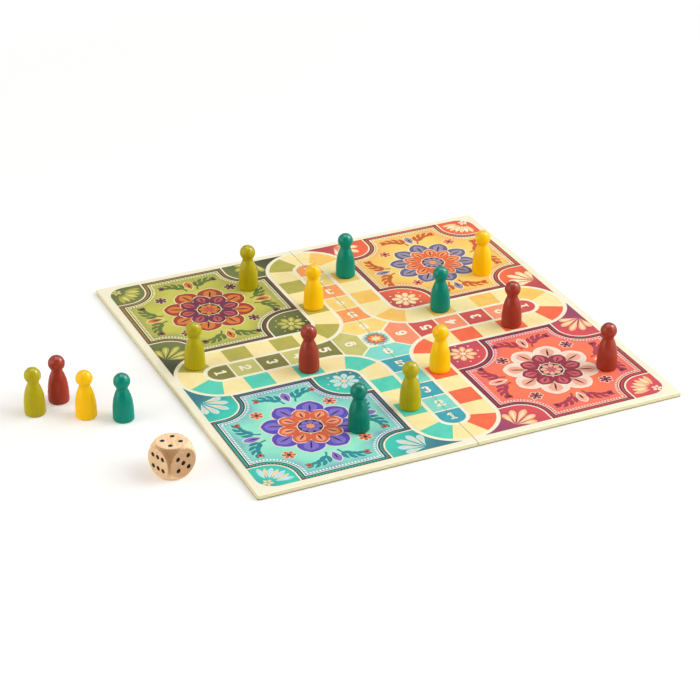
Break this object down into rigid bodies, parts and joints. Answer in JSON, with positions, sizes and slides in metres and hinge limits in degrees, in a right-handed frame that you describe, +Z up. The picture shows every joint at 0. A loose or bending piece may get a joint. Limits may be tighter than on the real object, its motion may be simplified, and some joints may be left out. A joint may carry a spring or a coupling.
{
  "type": "folding track board game",
  "caption": "Folding board game laid out for play: a hinged square board printed with a cross-shaped race track, turned wooden pawns and a wooden die.",
  "frame": {"origin": "middle of the open board's underside, on the fold line, at table level", "axes": "+X across the fold towards the right half, +Y along the fold towards the back, +Z up out of the printed face"},
  "size_m": [0.3573, 0.27, 0.0329],
  "materials": {
    "greyboard": "raw grey pulp board",
    "face_paper": "matt coated cream paper, printed",
    "lining_paper": "uncoated pale paper",
    "hinge_paper": "strong pale paper tape",
    "ink_tan": "offset ink, matt varnish",
    "ink_numbers": "offset ink, matt varnish",
    "ink_star": "offset ink, matt varnish",
    "ink_square_teal": "offset ink, matt varnish",
    "ink_home_dark_teal": "offset ink, matt varnish",
    "ink_home_light_teal": "offset ink, matt varnish",
    "ink_panel_teal": "offset ink, matt varnish",
    "ink_border_teal": "offset ink, matt varnish",
    "ink_corner_teal": "offset ink, matt varnish",
    "paint_teal": "turned beech, satin gloss lacquer",
    "ink_square_red": "offset ink, matt varnish",
    "ink_home_dark_red": "offset ink, matt varnish",
    "ink_home_light_red": "offset ink, matt varnish",
    "ink_panel_red": "offset ink, matt varnish",
    "ink_border_red": "offset ink, matt varnish",
    "ink_corner_red": "offset ink, matt varnish",
    "paint_red": "turned beech, satin gloss lacquer",
    "ink_square_yellow": "offset ink, matt varnish",
    "ink_home_dark_yellow": "offset ink, matt varnish",
    "ink_home_light_yellow": "offset ink, matt varnish",
    "ink_panel_yellow": "offset ink, matt varnish",
    "ink_border_yellow": "offset ink, matt varnish",
    "ink_corner_yellow": "offset ink, matt varnish",
    "paint_yellow": "turned beech, satin gloss lacquer",
    "ink_square_green": "offset ink, matt varnish",
    "ink_home_dark_green": "offset ink, matt varnish",
    "ink_home_light_green": "offset ink, matt varnish",
    "ink_panel_green": "offset ink, matt varnish",
    "ink_border_green": "offset ink, matt varnish",
    "ink_corner_green": "offset ink, matt varnish",
    "paint_green": "turned beech, satin gloss lacquer",
    "beech": "tumbled beech, waxed",
    "pip_paint": "black paint"
  },
  "bodies": {
    "left_half": {"core_left": "greyboard", "face_paper_left": "face_paper", "lining_left": "lining_paper", "hinge_strip_left": "hinge_paper", "squares_teal": "ink_square_teal", "squares_green": "ink_square_green", "squares_tan_left": "ink_tan", "home_teal_dark_left": "ink_home_dark_teal", "home_teal_light_left": "ink_home_light_teal", "home_yellow_dark_left": "ink_home_dark_yellow", "home_yellow_light_left": "ink_home_light_yellow", "home_green_dark": "ink_home_dark_green", "home_green_light": "ink_home_light_green", "panel_teal": "ink_panel_teal", "panel_green": "ink_panel_green", "border_teal": "ink_border_teal", "border_green": "ink_border_green", "corners_teal": "ink_corner_teal", "corners_green": "ink_corner_green", "numbers_left": "ink_numbers", "star_left": "ink_star"},
    "right_half": {"core_right": "greyboard", "face_paper_right": "face_paper", "lining_right": "lining_paper", "hinge_strip_right": "hinge_paper", "squares_red": "ink_square_red", "squares_yellow": "ink_square_yellow", "squares_tan_right": "ink_tan", "home_teal_dark_right": "ink_home_dark_teal", "home_teal_light_right": "ink_home_light_teal", "home_yellow_dark_right": "ink_home_dark_yellow", "home_yellow_light_right": "ink_home_light_yellow", "home_red_dark": "ink_home_dark_red", "home_red_light": "ink_home_light_red", "panel_red": "ink_panel_red", "panel_yellow": "ink_panel_yellow", "border_red": "ink_border_red", "border_yellow": "ink_border_yellow", "corners_red": "ink_corner_red", "corners_yellow": "ink_corner_yellow", "numbers_right": "ink_numbers", "star_right": "ink_star"},
    "pawn_teal_1": {"pawn_teal_1": "paint_teal"},
    "pawn_teal_2": {"pawn_teal_2": "paint_teal"},
    "pawn_teal_3": {"pawn_teal_3": "paint_teal"},
    "pawn_teal_4": {"pawn_teal_4": "paint_teal"},
    "pawn_red_1": {"pawn_red_1": "paint_red"},
    "pawn_red_2": {"pawn_red_2": "paint_red"},
    "pawn_red_3": {"pawn_red_3": "paint_red"},
    "pawn_red_4": {"pawn_red_4": "paint_red"},
    "pawn_yellow_1": {"pawn_yellow_1": "paint_yellow"},
    "pawn_yellow_2": {"pawn_yellow_2": "paint_yellow"},
    "pawn_yellow_3": {"pawn_yellow_3": "paint_yellow"},
    "pawn_yellow_4": {"pawn_yellow_4": "paint_yellow"},
    "pawn_green_1": {"pawn_green_1": "paint_green"},
    "pawn_green_2": {"pawn_green_2": "paint_green"},
    "pawn_green_3": {"pawn_green_3": "paint_green"},
    "pawn_green_4": {"pawn_green_4": "paint_green"},
    "die": {"die": "beech", "pips": "pip_paint"}
  },
  "joints": [
    {"name": "fold", "type": "hinge", "parent": "left_half", "child": "right_half", "pos_m": [0, 0, -0.00005], "axis": [0, 1, 0], "range_deg": [0, 180]},
    {"name": "lift_pawn_teal_1", "type": "slide", "parent": "right_half", "child": "pawn_teal_1", "axis": [0, 0, 1], "range_m": [0, 0.045]},
    {"name": "lift_pawn_teal_2", "type": "slide", "parent": "right_half", "child": "pawn_teal_2", "axis": [0, 0, 1], "range_m": [0, 0.045]},
    {"name": "lift_pawn_teal_3", "type": "slide", "parent": "left_half", "child": "pawn_teal_3", "axis": [0, 0, 1], "range_m": [0, 0.045]},
    {"name": "lift_pawn_teal_4", "type": "slide", "parent": "left_half", "child": "pawn_teal_4", "axis": [0, 0, 1], "range_m": [0, 0.045]},
    {"name": "lift_pawn_red_1", "type": "slide", "parent": "left_half", "child": "pawn_red_1", "axis": [0, 0, 1], "range_m": [0, 0.045]},
    {"name": "lift_pawn_red_2", "type": "slide", "parent": "right_half", "child": "pawn_red_2", "axis": [0, 0, 1], "range_m": [0, 0.045]},
    {"name": "lift_pawn_red_3", "type": "slide", "parent": "right_half", "child": "pawn_red_3", "axis": [0, 0, 1], "range_m": [0, 0.045]},
    {"name": "lift_pawn_red_4", "type": "slide", "parent": "left_half", "child": "pawn_red_4", "axis": [0, 0, 1], "range_m": [0, 0.045]},
    {"name": "lift_pawn_yellow_1", "type": "slide", "parent": "left_half", "child": "pawn_yellow_1", "axis": [0, 0, 1], "range_m": [0, 0.045]},
    {"name": "lift_pawn_yellow_2", "type": "slide", "parent": "right_half", "child": "pawn_yellow_2", "axis": [0, 0, 1], "range_m": [0, 0.045]},
    {"name": "lift_pawn_yellow_3", "type": "slide", "parent": "right_half", "child": "pawn_yellow_3", "axis": [0, 0, 1], "range_m": [0, 0.045]},
    {"name": "lift_pawn_yellow_4", "type": "slide", "parent": "left_half", "child": "pawn_yellow_4", "axis": [0, 0, 1], "range_m": [0, 0.045]},
    {"name": "lift_pawn_green_1", "type": "slide", "parent": "left_half", "child": "pawn_green_1", "axis": [0, 0, 1], "range_m": [0, 0.045]},
    {"name": "lift_pawn_green_2", "type": "slide", "parent": "left_half", "child": "pawn_green_2", "axis": [0, 0, 1], "range_m": [0, 0.045]},
    {"name": "lift_pawn_green_3", "type": "slide", "parent": "left_half", "child": "pawn_green_3", "axis": [0, 0, 1], "range_m": [0, 0.045]},
    {"name": "lift_pawn_green_4", "type": "slide", "parent": "left_half", "child": "pawn_green_4", "axis": [0, 0, 1], "range_m": [0, 0.045]},
    {"name": "lift_die", "type": "slide", "parent": "left_half", "child": "die", "axis": [0, 0, 1], "range_m": [0, 0.045]}
  ]
}
